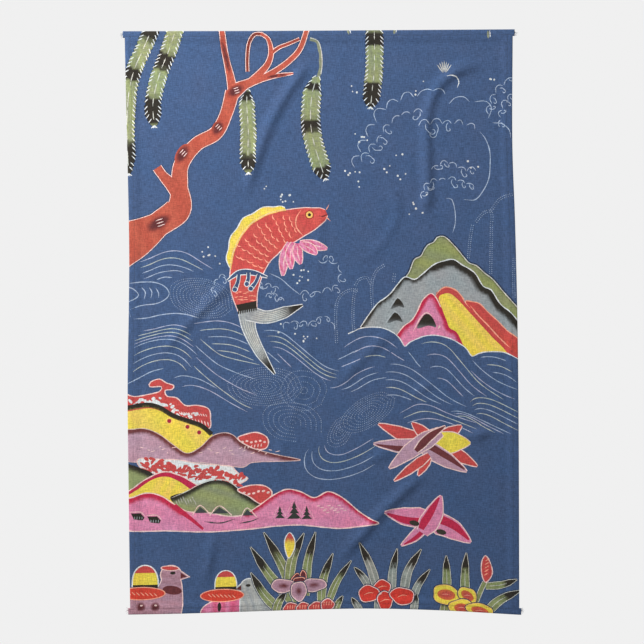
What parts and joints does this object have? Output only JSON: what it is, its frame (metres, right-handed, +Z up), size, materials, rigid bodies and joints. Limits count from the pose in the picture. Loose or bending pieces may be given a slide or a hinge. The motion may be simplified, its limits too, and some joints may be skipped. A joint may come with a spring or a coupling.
{
  "type": "kitchen towel",
  "caption": "Hemmed woven kitchen towel lying flat and face up with soft creases, with double-turned hems lockstitched along every edge.",
  "frame": {"origin": "middle of the towel, on the surface that it lies on", "axes": "+Y along the towel towards the top edge of its picture, +X across it to the right, +Z up out of the printed face"},
  "size_m": [0.4114, 0.6096, 0.0058],
  "materials": {
    "printed_cloth": "matte plain weave cotton, printed on the face",
    "hem_cloth": "matte plain weave cotton, with the print carried round the fold",
    "face_thread": "matte, printed over with the cloth",
    "back_thread": "matte cotton sewing thread"
  },
  "bodies": {
    "root": {"cloth_panel": "printed_cloth", "bottom_hem": "hem_cloth", "bottom_needle_thread": "face_thread", "bottom_bobbin_thread": "back_thread", "top_hem": "hem_cloth", "top_needle_thread": "face_thread", "top_bobbin_thread": "back_thread", "right_hem": "hem_cloth", "right_needle_thread": "face_thread", "right_bobbin_thread": "back_thread", "left_hem": "hem_cloth", "left_needle_thread": "face_thread", "left_bobbin_thread": "back_thread"}
  },
  "joints": []
}
